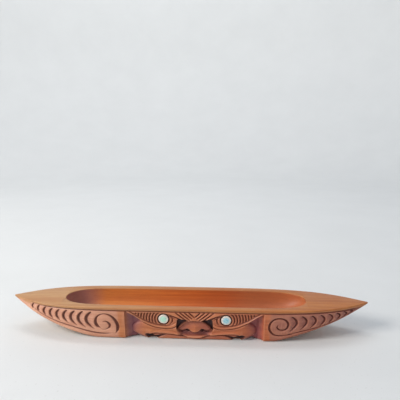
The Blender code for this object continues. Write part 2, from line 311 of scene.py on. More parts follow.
EYE_SPOT = (31.0, 22.4)
EYE_RING_RADIUS = 6.6
EYE_RING_SLOPE = 1.5
EYE_RING_DEPTH = 2.6
ARC_COUNT = 8
ARC_FIRST_RADIUS = 8.4
ARC_STEP = 2.8
ARC_DEPTH = 1.3
LEAF_SLOPE = 1.2
LEAF_DEPTH = 0.7
LEAF_STAIN = 0.15
LEAF = [(64.5, 29.7), (47, 29.9), (34, 29.9), (27, 28.4), (20.8, 25.6), (16.6, 22.6), (17.6, 18.8),
        (21, 16.2), (27, 14.9), (34.5, 15.4), (40, 16.5), (44.5, 18.1), (49.5, 20.4), (54.5, 23.1),
        (58.5, 25.9)]
LID_RIDGE = [(67.5, 30.2), (63, 27.8), (58.5, 24.7), (54.5, 21.9), (49.5, 19.2), (44.5, 16.9), (40, 15.3),
             (34.5, 14.3), (29, 13.8), (24.5, 14.1), (20.8, 15.4), (17.5, 18.3)]
BROW_CUT = [(34, 29.8, 0.3, 0.3), (27, 28.0, 0.8, 1.0), (21, 25.6, 1.0, 1.8), (14.8, 22.7, 1.1, 2.0),
            (11, 21.0, 1.0, 2.0)]
LID_CUT = [(27.4, 26.4, 0.4, 0.4), (23.6, 25.0, 1.0, 1.3), (19.5, 22.6, 0.5, 0.6)]
EYE_CORNER = [(24.4, 26.6, 0.3, 0.3), (22.6, 24.6, 0.8, 1.0), (22.0, 21.8, 0.9, 1.2), (22.8, 18.9, 0.8, 1.0),
              (25.2, 16.6, 0.3, 0.3)]

CHEVRONS = 4

DUCT_DEPTH = 4.0
DUCT = [(5.2, 21.6), (11, 22.8), (16.9, 22.9), (18.3, 18), (18.6, 12.6), (17.0, 11.6), (14.4, 15.0),
        (10.4, 18.4)]
NOSE = [(0, 21.2), (5.0, 21.0), (10.2, 18.4), (14.0, 15.2), (16.3, 12.2), (15.4, 10.3), (12.6, 9.5),
        (9.4, 10.2), (7.2, 10.9), (5.2, 9.2), (3, 7.9), (0, 7.4)]
WING_EDGE = [(17.4, 13.2, 0.9, 1.2), (16.6, 10.2, 1.1, 1.5), (13.4, 8.4, 1.2, 1.5), (10.2, 8.8, 1.1, 1.4),
             (8.0, 10.2, 1.0, 1.2), (5.6, 9.4, 0.8, 0.8), (3.8, 7.8, 0.5, 0.4)]
NOSTRIL = (7.2, 9.7)
NOSTRIL_DEPTH = 2.4
NOSE_GROUND = 3.2

LIP_SET_BACK = 1.4
LIP = [(49, 1.4), (47, 4.6), (44, 7.0), (39.5, 8.1), (31, 7.7), (22, 7.0), (14, 5.7), (7, 4.1), (0, 3.1)]
# The cut depth where the painted shadow in a mouth corner's pit is full
CORNER_DEEP = 3.4  # where a mouth corner's pit is darkest
CORNER = [(49.2, 5.2, 0.8, 1.4), (46.6, 3.8, 2.8, 3.4), (43.2, 2.0, 3.4, 4.2), (39.5, 1.6, 2.6, 3.6),
          (35.5, 3.4, 1.5, 2.0), (29, 5.6, 0.8, 0.9)]


def carve_rim_line(carving):
    """The cut line under the rim band, which dies out toward the tips."""
    xs = np.linspace(-HALF_LENGTH + LINE_STOP_LEFT, HALF_LENGTH - LINE_STOP_RIGHT, 40)
    fade = smooth((xs - xs[0]) / LINE_FADE_LEFT) * smooth((xs[-1] - xs) / LINE_FADE_RIGHT)
    fade = fade * (1 - LINE_FAINTEST) + LINE_FAINTEST
    half = LINE_HALF_WIDTH * (0.6 + 0.4 * fade)
    carving.groove(np.column_stack([xs, line_height(xs), half, LINE_DEPTH * fade]), V_TOOL)


def lid_height(s):
    """The lower lid's ridge at a distance from the mask's centre line."""
    lid = np.array(LID_RIDGE)[::-1]
    return np.interp(s, lid[:, 0], lid[:, 1])


def carve_scoops(carving):
    """The notch each side of the mask: a crisp edge, a hollow curve down, then the cheek that rolls out.

    The fall is a power of a quarter circle, the rise a quarter circle, and the lids run over both.
    """
    below_line = smooth((line_height(carving.x) - 0.1 - carving.z) / 0.7)
    s = np.abs(carving.x - MASK_X)
    above_lid = smooth((carving.z - lid_height(s) + 1.2) / 0.8) * (s < LID_RIDGE[0][0])
    valley = SCOOP_FALL - 1 + SCOOP_WIDER_ABOVE * smooth((carving.z - 12.5) / 9)
    valley = valley + SCOOP_WIDER_BELOW * smooth((8 - carving.z) / 7)
    for hand in (LEFT, RIGHT):
        t = (SCOOP_EDGE[hand] - carving.x) * hand
        fall = (1 - (1 - np.clip(t / SCOOP_FALL, 0, 1)) ** 2) ** 0.6
        q = np.clip((t - valley) / SCOOP_RISE, 0, 1)
        rise = 1 - np.sqrt(1 - (1 - q) ** 2)
        depth = np.where(t < valley, fall, rise) * (t > 0)
        carving.shaping += SCOOP_DEPTH * depth * below_line * (1 - above_lid)


def paired(points, hand):
    """Rows of distance from the mask's centre line, z and the rest, set on one side of it."""
    points = np.array(points, float)
    points[:, 0] = MASK_X + hand * points[:, 0]
    return points


def beside(line, shift, half, depth):
    """A tool's path at a fixed shift from a line of x and z, with one half width and one depth all along."""
    line = np.array(line, float) + shift
    return np.column_stack([line, np.full((len(line), 2), (half, depth))])


def carve_eye(carving, hand):
    """The leaf round an eye: a sunk floor, rows of crescents toward its point, and the lids' ridges."""
    leaf = carving.inside(paired(LEAF, hand), LEAF_SLOPE)
    carving.shaping += LEAF_DEPTH * leaf
    carving.tinge(LEAF_STAIN * leaf)
    eye_x, eye_z = paired([EYE_SPOT], hand)[0]
    r = np.hypot(carving.x - eye_x, carving.z - eye_z)
    carving.cut(EYE_RING_DEPTH * smooth((EYE_RING_RADIUS - r) / EYE_RING_SLOPE))

    # Rings round the eye, cut only inside the leaf and thinner toward their ends
    turn = np.radians(np.linspace(-50, 85, 14))
    swell = np.cos(np.radians(np.linspace(-80, 80, 14))) ** 0.5
    for k in range(ARC_COUNT):
        radius = ARC_FIRST_RADIUS + ARC_STEP * k
        arc_x = EYE_SPOT[0] + radius * np.cos(turn)
        arc_z = EYE_SPOT[1] + radius * np.sin(turn)
        arc = np.column_stack([arc_x, arc_z, 0.3 + 0.75 * swell, ARC_DEPTH * swell])
        carving.groove(paired(arc, hand), VEINER, leaf)

    # A cut under and a cut over the lower lid leave its ridge, and the upper one dies out at the inner corner
    under = beside(LID_RIDGE, (-0.8, -1.6), 0.8, 1.0)
    carving.groove(paired(under, hand), V_TOOL)
    over = beside(LID_RIDGE, (0.3, 1.7), 0.9, 1.1)
    over[-3:, 3] = (0.7, 0.3, 0)
    carving.groove(paired(over, hand), V_TOOL)
    for line in (BROW_CUT, LID_CUT, EYE_CORNER):
        carving.groove(paired(line, hand), KNIFE)


def carve_forehead(carving):
    """Nested chevrons that hang from the rim line, over a small plain lozenge."""
    for k in range(CHEVRONS):
        top = (5.5 + 4.5 * k, 30.2)
        foot = (2.35 * k, 25 - 1.5 * k)
        middle = ((top[0] + foot[0]) / 2, (30 + foot[1]) / 2)
        arm = [(*top, 0.9, 1.1), (*middle, 1.0, 1.5), (*foot, 0.7, 1.0)]
        for hand in (LEFT, RIGHT):
            carving.groove(paired(arm, hand), V_TOOL)


def carve_nose(carving):
    """The nose is a low tent between two deep ducts: it slopes back to each wing and up to its sunk root."""
    s = np.abs(carving.x - MASK_X)
    ground = smooth((17.5 - s) / 6) * smooth((carving.z - 3.4) / 2.5) * smooth((15 - carving.z) / 3)
    outline = np.vstack([paired(NOSE, RIGHT), paired(NOSE, LEFT)[-2:0:-1]])
    nose = carving.inside(outline, 1.8)
    tent = 0.3 + 0.14 * s + 1.4 * smooth((carving.z - 12) / 8) - 0.3 * carving.dish(MASK_X, 11, 6, 5)
    carving.shaping += np.where(nose > 0, nose * tent + (1 - nose) * NOSE_GROUND, NOSE_GROUND * ground)
    for hand in (LEFT, RIGHT):
        duct = carving.inside(paired(DUCT, hand), 1.2)
        carving.cut(DUCT_DEPTH * duct * (1 - nose))
        # Painted shadow in the duct, and below in the nostril
        carving.darken(duct * (1 - nose))
        carving.groove(paired(WING_EDGE, hand), VEINER)
        nostril_x, nostril_z = paired([NOSTRIL], hand)[0]
        nostril = carving.dish(nostril_x, nostril_z, 3.6, 2.4)
        carving.cut(NOSTRIL_DEPTH * nostril)
        carving.darken(0.8 * nostril)
    # Painted shade: the sunk root under the lozenge and the sunk ground round the nose are darkened
    root = carving.dish(MASK_X, 20.2, 10, 2.4)
    carving.tinge(0.55 * np.maximum(root, ground * (1 - nose)))


def carve_mouth(carving):
    """The upper lip is a thin ridge; under it the lower lip is set back, with a pit at each corner."""
    s = np.abs(carving.x - MASK_X)
    lip = np.array(LIP)[::-1]
    lip_z = np.interp(s, lip[:, 0], lip[:, 1], right=-5)
    carving.shaping += LIP_SET_BACK * smooth((lip_z - 0.5 - carving.z) / 0.7)
    under = beside(lip, (0, -1.5), 0.9, 1.2)
    for hand in (LEFT, RIGHT):
        carving.groove(paired(under[1:-1], hand), V_TOOL)
        corner = carving.stroke(paired(CORNER, hand), VEINER)
        carving.cut(corner)
        # Painted shadow in the corner's pit
        carving.darken(smooth(corner / CORNER_DEEP))

    # The cheek sinks over the lip's ridge, under the lid's outer end and at the base
    over = 0.8 * smooth((carving.z - lip_z - 0.7) / 1.2) * smooth((lip_z + 5.5 - carving.z) / 3.5)
    carving.shaping += over * smooth((45 - s) / 8) * smooth((s - 5) / 4)
    below_lid = smooth((lid_height(s) - 1.5 - carving.z) / 3)
    carving.shaping += 1.3 * smooth((s - 42) / 16) * smooth((64 - s) / 3) * below_lid
    cheek = smooth((60 - s) / 2) * smooth((s - 47) / 3)
    carving.shaping += 3.4 * cheek * np.clip(1 - carving.z / 6.0, 0, 1) ** 2


LEFT_ARCH = [(-86.0, 11.2, 0.5, 0.9), (-88.8, 13.2, 1.7, 1.7), (-90.5, 17, 1.8, 1.8), (-89.6, 22, 1.3, 1.5),
             (-86, 25.6, 0.8, 1.1), (-80.6, 26.9, 0.7, 1.0), (-75, 25, 1.2, 1.4), (-70.6, 20.6, 1.7, 1.8),
             (-68.2, 15, 1.9, 1.9), (-68.4, 10, 1.6, 1.6), (-70.2, 6.2, 0.5, 0.6)]
LEFT_HOOK = [(-82.6, 18.6, 0.5, 0.7), (-79.2, 18.4, 0.9, 1.2), (-76.4, 15.8, 1.4, 1.5),
             (-76.3, 13, 1.3, 1.4), (-78.2, 10.9, 0.7, 0.9), (-81.2, 9.6, 0.45, 0.6), (-84.2, 9.9, 0.4, 0.5),
             (-86.0, 11.2, 0.4, 0.4)]
RIGHT_COIL = [(105, 8.2, 0.5, 0.7), (97.0, 7.3, 0.65, 0.9), (91.3, 6.9, 0.8, 1.2), (86.6, 8.4, 1.0, 1.4),
              (83.4, 12, 1.25, 1.6), (82.3, 16.5, 1.3, 1.7), (83.8, 21.2, 1.2, 1.6), (87.6, 24.6, 1.0, 1.4),
              (93.1, 25.6, 0.9, 1.3), (98.2, 23.7, 1.1, 1.5), (100.8, 19.6, 1.25, 1.6), (99.6, 15, 1.1, 1.5),
              (96, 13.1, 0.85, 1.2), (92.2, 13.6, 0.9, 1.3), (90, 16.2, 0.9, 1.2), (91.2, 18.8, 0.4, 0.5)]
LEFT_BORDER = [(-75, 5.6, 0.4, 0.5), (-80, 5.0, 0.8, 0.9), (-88, 5.2, 1.0, 1.2), (-97, 6.6, 1.0, 1.2),
               (-114.3, 10.8, 0.9, 1.1), (-132, 15.4, 0.8, 1.0), (-146.6, 20.4, 0.65, 0.8),
               (-157, 25.2, 0.55, 0.7), (-163, 28.6, 0.3, 0.3)]
RIGHT_BORDER = [(101.1, 8.1, 0.6, 0.9), (114.8, 11.7, 0.65, 0.9), (132.3, 15.8, 0.65, 0.9),
                (150.3, 21.6, 0.6, 0.8), (162, 26.2, 0.5, 0.7), (171, 30.0, 0.3, 0.3)]

LEFT_CRESCENTS = 9
RIGHT_CRESCENTS = 8
CRESCENT_SLOPE_SHIFT = 1.4  # in the cut's largest half width
CRESCENT_SLOPE_WIDTH = 2.4  # in the cut's own width
CRESCENT_SLOPE_DEPTH = 0.85

STAINED_DEPTH = 1.1  # a cut this deep is fully stained
WORN_REACH = 6  # in map steps
WORN_HEIGHT = 0.6


def carve_spirals(carving):
    """The spiral on each end panel, and the border line that runs from it to the tip."""
    for line in (LEFT_ARCH, LEFT_HOOK, RIGHT_COIL, LEFT_BORDER, RIGHT_BORDER):
        carving.groove(line, GOUGE)


def crescent(top, belly, tail, half, depth):
    """A crescent on the parabola through three points, thick above its middle, with a thin tail."""
    share = np.linspace(0, 1, 9)[:, None]
    top, belly, tail = (np.array(point, float) for point in (top, belly, tail))
    line = (1 - share) * (1 - 2 * share) * top + 4 * share * (1 - share) * belly
    line = line - share * (1 - 2 * share) * tail
    swell = np.sin(math.pi * (0.06 + 0.92 * share) ** 0.8) ** 0.8
    return np.hstack([line, half * (0.25 + 0.75 * swell), depth * (0.35 + 0.65 * swell)])


def cut_crescent(carving, cut, lean):
    """The cut and, on the side away from its bow, a wide shallow slope down into it."""
    carving.groove(cut, GOUGE)
    slope = cut + np.array([lean * CRESCENT_SLOPE_SHIFT * cut[:, 2].max(), 0, 0, 0])
    slope[:, 2] *= CRESCENT_SLOPE_WIDTH
    slope[:, 3] = CRESCENT_SLOPE_DEPTH
    carving.shaping = np.maximum(carving.shaping, carving.stroke(slope[1:-2], SKEW))


def carve_crescents(carving):
    """Each end panel's row of crescents between the border line and the rim line.

    Number k counts from the spiral to the tip. The spacing shrinks evenly, and each gap to a line, reach,
    width and depth changes by a fixed amount a crescent, but the right row keeps clear of its border.
    """
    left_border = np.array(LEFT_BORDER)[::-1]
    right_border = np.array(RIGHT_BORDER)
    for k in range(LEFT_CRESCENTS):
        x = -100.2 - 8.3 * k + 0.1 * k * k
        low = np.interp(x + 6, left_border[:, 0], left_border[:, 1]) + 3.6 - 0.3 * k
        top = line_height(x) - 2.4 + 0.18 * k
        cut = crescent((x + 5.4 - 0.42 * k, top), (x, top + 0.5 * (low - top)), (x + 8.2 - 0.9 * k, low),
                       1.65 - 0.09 * k, 1.8 - 0.06 * k)
        cut_crescent(carving, cut, RIGHT)
    for k in range(RIGHT_CRESCENTS):
        x = 109.2 + 10 * k - 0.25 * k * k
        low = np.interp(x - 5, right_border[:, 0], right_border[:, 1]) + max(3.0 - 0.7 * k, 0.8)
        top = line_height(x) - 3.2 + 0.3 * k
        cut = crescent((x - 5 + 0.3 * k, top), (x, top + 0.47 * (low - top)), (x - 6.4 + 0.5 * k, low),
                       1.35 - 0.07 * k, 1.7 - 0.06 * k)
        cut_crescent(carving, cut, LEFT)


def make_carving():
    """The finished map. Nothing is cut above the rim line, cuts are stained, pits and recesses get painted
    shade, and high edges are worn.
    """
    carving = Carving()
    carve_scoops(carving)
    for hand in (LEFT, RIGHT):
        carve_eye(carving, hand)
    carve_forehead(carving)
    carve_nose(carving)
    carve_mouth(carving)
    carve_rim_line(carving)
    carve_spirals(carving)
    carve_crescents(carving)
    below = smooth((line_height(carving.x) + 0.9 - carving.z) / 0.4)
    carving.depth = (np.maximum(carving.shaping, 0) + carving.cuts) * below
    # Stain in the cuts, and through the tint painted shade round the nose
    carving.stain = np.clip(np.maximum(carving.cuts / STAINED_DEPTH, carving.tint), 0, 1) * below
    # Painted shadow in the deep holes
    carving.pit = carving.pit * below
    carving.ridge = np.clip((soften(carving.depth, WORN_REACH) - carving.depth) / WORN_HEIGHT, -1, 1)
    # Stain and painted shade in every shaped recess, fullest in the scoops
    carving.scoop = np.clip(carving.shaping / SCOOP_DEPTH, 0, 1)
    return carving


# ---- The skin of the bowl ----

STATION_STEP = 0.42
STATION_GAP = 0.12
DROP_STATIONS = (0.0, 0.04, 0.12, 0.24)  # from where the hollow starts, inward
EDGE_STATIONS = (-0.06, 0, 0.06, 0.14, 0.24)  # from a scoop's crisp edge, toward the tip
HOLLOW_POINTS = 22
LINE_BAND_TOP = 2.5  # the fine rows that hold the rim line, as depths under the rim
LINE_BAND_FOOT = 4.0
CARVED_ROWS = 78
MOST_TRIANGLES = 196000
MERGE_DISTANCE = 0.004 * MM
SHARP_ANGLE = math.radians(38)
PANEL_MIDDLE = 7.7  # the end panels start at this distance each side of it
PANEL_START = 74


def stations():
    """Even stations along x, closer where the hollow ends drop and at the scoops' crisp edges."""
    even = np.arange(-HALF_LENGTH + 0.15, HALF_LENGTH - 0.1, STATION_STEP)
    drop = np.array(DROP_STATIONS)
    edge = np.array(EDGE_STATIONS)
    hollow_ends = [HOLLOW_START + drop, HOLLOW_END - drop]
    scoop_edges = [SCOOP_EDGE[LEFT] + edge, SCOOP_EDGE[RIGHT] - edge]
    sharp = np.concatenate(hollow_ends + scoop_edges)
    kept = even[np.abs(even[:, None] - sharp).min(axis=1) > STATION_GAP]
    return np.sort(np.concatenate([kept, sharp]))


def hollow_half_width(x):
    """The hollow's plan: nearly parallel sides with round ends, the root of 1 minus a power of the reach."""
    middle, half = (HOLLOW_START + HOLLOW_END) / 2, (HOLLOW_END - HOLLOW_START) / 2
    reach = np.clip(np.abs(x - middle) / half, 0, 1)
    return (HALF_WIDTH - RIM_WALL) * np.sqrt(1 - reach**HOLLOW_END_FULLNESS)


def hollow_depth(x):
    """The floor is level and runs up at both ends as a quarter of an ellipse."""
    near = np.clip(np.minimum((x - HOLLOW_START) / RUN_UP_LEFT, (HOLLOW_END - x) / RUN_UP_RIGHT), 0, 1)
    return (HEIGHT - FLOOR) * np.sqrt(1 - (1 - near) ** 2)


def half_section(x, carving):
    """Half of each cross-section, from the hollow's floor over the rim and down the side to the base.

    The inner wall is a superellipse, both rim edges and the bilge are quarter circles, and the side is the
    flared face less the carving. x is a column of stations. Returns y and z, a row for each station.
    """
    top, base = rim_height(x), base_height(x)
    tall = top - base
    width = half_width(x)
    hollow = hollow_half_width(x)
    deep = np.clip(hollow_depth(x) - (HEIGHT - top), 0, None)
    edge = np.minimum(EDGE_ROUND, np.minimum(tall / 5, width / 3))
    lip = np.minimum(HOLLOW_EDGE_ROUND, np.minimum(hollow, deep) / 2)
    bilge = np.minimum(BILGE_ROUND, np.minimum(tall / 3, width / 2))
    ys, zs = [], []

    def add(y, z):
        """The next points of every section."""
        y, z = np.broadcast_arrays(y, z)
        ys.append(y)
        zs.append(z)

    def carved(z):
        """How far out the carved side is at a height."""
        return side_half_width(x, z) - carving.sample(carving.depth, x + 0 * z, z)

    # The hollow's wall from its middle to the rim, then the inner rim edge
    turn = np.linspace(math.pi / 2, 0.02, HOLLOW_POINTS)[None, :]
    power = 2 / HOLLOW_FLOOR_FULLNESS
    add(hollow * np.abs(np.cos(turn)) ** power, top - lip - (deep - lip) * np.sin(turn) ** power)
    turn = np.linspace(0, math.pi / 2, 4)[None, :]
    add(hollow + lip * (1 - np.cos(turn)), top - lip + lip * np.sin(turn))

    # The flat rim and its outer edge
    share = np.linspace(0, 1, 5)[None, 1:]
    inner = hollow + lip
    add(inner + (width - edge - inner) * share, top + 0 * share)
    turn = np.linspace(0, math.pi / 2, 5)[None, 1:]
    add(width - edge + edge * np.sin(turn), top - edge + edge * np.cos(turn))

    # The carved side, closer by the rim line
    head = np.minimum(1, tall / 10)
    above_line = np.linspace(EDGE_ROUND, LINE_BAND_TOP, 5)[1:]
    by_line = np.linspace(LINE_BAND_TOP, LINE_BAND_FOOT, 8)[1:]
    z = top - np.concatenate([above_line, by_line])[None, :] * head
    add(carved(z), z)
    share = np.linspace(0, 1, CARVED_ROWS)[None, 1:]
    z = (top - LINE_BAND_FOOT * head) * (1 - share) + (base + bilge) * share
    add(carved(z), z)

    # The bilge, carved on as far as it goes, and the underside
    turn = np.linspace(0, math.pi / 2, 6)[None, 1:]
    z = base + bilge - bilge * np.sin(turn)
    more = carving.sample(carving.depth, x + 0 * z, z) - carving.sample(carving.depth, x, base + bilge)
    heel = carved(base + bilge) - bilge + bilge * np.cos(turn) - more
    add(heel, z)
    share = np.linspace(0, 1, 6)[None, 1:]
    add(heel[:, -1:] * (1 - share), base + 0 * share)
    return np.concatenate(ys, 1), np.concatenate(zs, 1)


def close_mesh(mesh):
    """Merges doubles, takes off any flap that hangs by one edge, and turns every face outward."""
    work = bmesh.new()
    work.from_mesh(mesh)
    bmesh.ops.remove_doubles(work, verts=work.verts, dist=MERGE_DISTANCE)
    bmesh.ops.dissolve_degenerate(work, edges=work.edges, dist=MERGE_DISTANCE / 4)
    flaps = list({face for edge in work.edges if edge.is_boundary for face in edge.link_faces})
    bmesh.ops.delete(work, geom=flaps, context="FACES")
    bmesh.ops.recalc_face_normals(work, faces=work.faces)
    work.to_mesh(mesh)
    work.free()
    mesh.shade_smooth()


def write_mesh(name, points, quads):
    """A closed mesh object from rows of points and the quads between them."""
    mesh = bpy.data.meshes.new(name)
    mesh.from_pydata(points.tolist(), [], quads.tolist())
    close_mesh(mesh)
    made = bpy.data.objects.new(name, mesh)
    bpy.context.scene.collection.objects.link(made)
    return made


def lofted(rings):
    """Quads between neighbouring closed rings, given as an index grid."""
    beside = np.roll(rings, -1, axis=1)
    return np.stack([rings[:-1], beside[:-1], beside[1:], rings[1:]], axis=-1).reshape(-1, 4)


def set_attribute(mesh, name, values):
    """A number at each point, which a material can read by its name."""
    layer = mesh.attributes.new(name, "FLOAT", "POINT")
    layer.data.foreach_set("value", np.asarray(values, np.float32).ravel())


def points_of(mesh):
    """The mesh's points in metres, one row each."""
    points = np.empty(len(mesh.vertices) * 3, np.float32)
    mesh.vertices.foreach_get("co", points)
    return points.reshape(-1, 3).astype(float)


def make_bowl(carving):
    """The whole skin: a closed ring of two mirrored halves at each station, drawn to a point at each tip."""
    x = stations()[:, None]
    y, z = half_section(x, carving)
    y = np.maximum(y, 0)
    ring_y = np.concatenate([-y, y[:, -2:0:-1]], axis=1)
    ring_z = np.concatenate([z, z[:, -2:0:-1]], axis=1)
    rings = np.stack([x + 0 * ring_y, ring_y, ring_z], axis=-1)
    tips = []
    for end, at in ((0, -HALF_LENGTH), (-1, HALF_LENGTH)):
        tip = np.zeros_like(rings[:1])
        tip[..., 0] = at
        tip[..., 2] = rings[end, :, 2].mean()
        tips.append(tip)
    rings = np.concatenate([tips[0], rings, tips[1]])
    index = np.arange(rings.shape[0] * rings.shape[1]).reshape(rings.shape[:2])
    bowl = write_mesh("carved_bowl", rings.reshape(-1, 3) * MM, lofted(index))
    bowl.data.calc_loop_triangles()
    thin = bowl.modifiers.new("Thin where it is smooth", "DECIMATE")
    thin.ratio = MOST_TRIANGLES / len(bowl.data.loop_triangles)
    bpy.context.view_layer.update()
    thinned = bowl.evaluated_get(bpy.context.evaluated_depsgraph_get())
    mesh = bpy.data.meshes.new_from_object(thinned)
    bowl.modifiers.clear()
    bowl.data = mesh
    mesh.name = "carved_bowl"
    close_mesh(mesh)
    mesh.set_sharp_from_angle(angle=SHARP_ANGLE)
    mark_skin(mesh, carving)
    return bowl


def mark_skin(mesh, carving):
    """Point attributes that the wood reads, each from 0 to 1, and for ridges down to -1 in the hollows."""
    x, y, z = (points_of(mesh) / MM).T
    wall = side_half_width(x, z)
    depth = carving.sample(carving.depth, x, z)
    on_side = smooth((np.abs(y) - (wall - depth - 0.8)) / 0.5) * (z < rim_height(x) - 0.2)
    # The pit and scoop marks carry painted shade, and the cut stain carries painted shade round the nose
    # besides stain
    fields = {"cut_stain": carving.stain, "pit": carving.pit, "ridge": carving.ridge, "scoop": carving.scoop}
    for name, field in fields.items():
        set_attribute(mesh, name, carving.sample(field, x, z) * on_side)
    below_line = smooth((line_height(x) + 0.3 - z) / 0.8)
    set_attribute(mesh, "side", on_side * below_line)
    set_attribute(mesh, "panel", smooth((np.abs(x - PANEL_MIDDLE) - PANEL_START) / 3) * on_side * below_line)

    # The hollow's surface lies within its plan, under the rim and well over the underside
    hollow = hollow_half_width(x)
    inside = (np.abs(y) < hollow + 0.35) & (z < rim_height(x) - 0.25) & (z > 5)
    set_attribute(mesh, "hollow", inside * smooth((rim_height(x) - 0.1 - z) / 0.9) * (1 - on_side))


# ---- The shell eyes ----

FRONT, BACK = -1, 1
EYES = {"front_left": FRONT, "front_right": FRONT, "back_left": BACK, "back_right": BACK}
DISC_DOME = 0.45  # how far the dome falls from its middle to its edge
DISC_CIRCLE = 0.66  # the fine cut circle, as a share of the radius
DISC_CIRCLE_WIDTH = 0.022
DISC_CIRCLE_DEPTH = 0.16
DISC_EDGE = 0.9  # where the edge starts to roll over
DISC_EDGE_ROLL = 0.35
DISC_WALL = 1.9  # from the dome's middle down to the flat back
DISC_SET_BACK = 0.02


def make_eye(place, side):
    """A shell disc, a little uneven in outline, set on the leaning side.

    Across the disc the height is a shallow dome, with a fine cut circle between the pale rim and the middle
    and an edge that rolls over with the square of the way out. Then a straight wall drops to a flat back.
    """
    low, high = (np.array(corner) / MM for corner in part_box("eye_inlay_" + place))
    middle = (low + high) / 2
    radius = (high[0] - low[0]) / 2
    proud = np.abs([low[1], high[1]]).max()
    turn = np.linspace(0, 2 * math.pi, 72, endpoint=False)[None, :]
    dome = np.linspace(0, 0.60, 10)
    rim = np.linspace(0.72, DISC_EDGE, 5)
    share = np.concatenate([dome, [0.635, DISC_CIRCLE, 0.685], rim, [0.94, 0.97, 0.99, 1, 1]])[:, None]
    drop = DISC_DOME * share**2
    drop = drop + DISC_CIRCLE_DEPTH * np.exp(-(((share - DISC_CIRCLE) / DISC_CIRCLE_WIDTH) ** 2))
    drop = drop + DISC_EDGE_ROLL * np.clip((share - DISC_EDGE) / 0.1, 0, 1) ** 2
    drop[-1] = DISC_WALL
    uneven = 1 + share * (0.012 * np.cos(3 * turn + middle[0]) + 0.010 * np.cos(5 * turn - 1) - 0.05)
    across = radius * share * uneven * np.cos(turn)
    up = radius * share * uneven * np.sin(turn)

    # The disc leans with the side, and its foremost point stays within the plain disc's face
    lean = HALF_WIDTH * SIDE_FLARE / HEIGHT
    out = proud - DISC_SET_BACK - drop - 0 * turn
    x = middle[0] + across
    z = middle[2] + up
    y = side * (out + lean * up - lean * radius * 0.98)
    front = np.stack([x, y, z], axis=-1)
    back = front[-1:].copy()
    back[..., 0] = middle[0]
    back[..., 1] = front[-1, :, 1].mean()
    back[..., 2] = middle[2]
    rings = np.concatenate([front, back])
    index = np.arange(rings.shape[0] * rings.shape[1]).reshape(rings.shape[:2])
    eye = write_mesh("shell_eye_" + place, rings.reshape(-1, 3) * MM, lofted(index))
    points = points_of(eye.data) / MM
    r = np.hypot(points[:, 0] - middle[0], points[:, 2] - middle[2]) / radius
    set_attribute(eye.data, "from_middle", r)
    return eye


# ---- Shader maths ----


class Shade:
    """A socket in a material. Operators on numbers add Math nodes."""

    def __init__(self, finish, socket):
        self.finish = finish
        self.socket = socket

    def math(self, operation, *values, clamp=False):
        """A Math node on these values."""
        settings = {"operation": operation, "use_clamp": clamp}
        return self.finish.node("ShaderNodeMath", settings, dict(enumerate(values)))

    def __add__(self, other):
        return self.math("ADD", self, other)

    def __sub__(self, other):
        return self.math("SUBTRACT", self, other)

    def __rsub__(self, other):
        return self.math("SUBTRACT", other, self)

    def __mul__(self, other):
        return self.math("MULTIPLY", self, other)

    __radd__ = __add__
    __rmul__ = __mul__

    def between(self, low, high):
        """0 below low, 1 above high, smooth between."""
        inputs = {"Value": self, "From Min": low, "From Max": high}
        return self.finish.node("ShaderNodeMapRange", {"interpolation_type": "SMOOTHSTEP"}, inputs)

    def clamped(self):
        """The number held between 0 and 1."""
        return self.math("ADD", self, 0.0, clamp=True)


def set_stops(ramp, stops):
    """Gives a colour ramp its places and colours."""
    while len(ramp.elements) < len(stops):
        ramp.elements.new(1)
    for element, (place, colour) in zip(ramp.elements, stops):
        element.position = place
        element.color = (*colour, 1)


class Finish:
    """A material, its nodes made by node() and its shader's sockets set by surface()."""

    def __init__(self, name):
        self.material = bpy.data.materials.new(name)
        self.material.use_nodes = True
        self.tree = self.material.node_tree
        self.shader = self.tree.nodes["Principled BSDF"]

    def node(self, kind, settings=None, inputs=None, output=0):
        """A node of this kind. Its settings are set first, then its sockets' values or links."""
        made = self.tree.nodes.new(kind)
        for name, value in (settings or {}).items():
            if name == "stops":
                set_stops(made.color_ramp, value)
            else:
                setattr(made, name, value)
        for name, value in (inputs or {}).items():
            self.feed(made.inputs[name], value)
        return Shade(self, made.outputs[output])

    def feed(self, socket, value):
        """Links a shade to the socket, or sets the socket to a number or a colour."""
        if isinstance(value, Shade):
            self.tree.links.new(value.socket, socket)
        elif hasattr(value, "__len__") and len(value) == 3 and socket.type == "RGBA":
            socket.default_value = (*value, 1)
        else:
            socket.default_value = value

    def surface(self, **sockets):
        """Sets the shader's sockets, named with underscores for spaces."""
        for name, value in sockets.items():
            self.feed(self.shader.inputs[name.replace("_", " ")], value)

    def place(self, stretch):
        """Object coordinates, stretched."""
        spot = self.node("ShaderNodeTexCoord", output="Object")
        return self.node("ShaderNodeVectorMath", {"operation": "MULTIPLY"}, {0: spot, 1: stretch})

    def along(self, low, high):
        """0 to 1 along the bowl, between two places in metres."""
        apart = self.node("ShaderNodeSeparateXYZ", {}, {0: self.place((1, 1, 1))}, output=0)
        return apart.between(low, high)

    def noise(self, stretch, detail=3.0, roughness=0.5, warp=0.0):
        """Soft noise with this many turns to a metre along each axis."""
        inputs = {"Vector": self.place(stretch), "Scale": 1.0, "Detail": detail, "Roughness": roughness}
        inputs["Distortion"] = warp
        return self.node("ShaderNodeTexNoise", {}, inputs)

    def bump(self, height, strength, distance):
        """The normal of a surface with this fine relief."""
        inputs = {"Strength": strength, "Distance": distance, "Height": height}
        return self.node("ShaderNodeBump", {}, inputs)

    def attribute(self, name):
        """A number that the piece holds at each point."""
        return self.node("ShaderNodeAttribute", {"attribute_name": name}, output="Fac")

    def mix(self, share, first, second):
        """Two colours mixed by a share."""
        return self.node("ShaderNodeMix", {"data_type": "RGBA"}, {0: share, 6: first, 7: second}, output=2)


def linear(red, green, blue):
    """A colour given as display values of 0 to 255, as the shader's linear values."""
    values = np.array([red, green, blue]) / 255
    return tuple(np.where(values <= 0.04045, values / 12.92, ((values + 0.055) / 1.055) ** 2.4).tolist())


# ---- The finishes ----


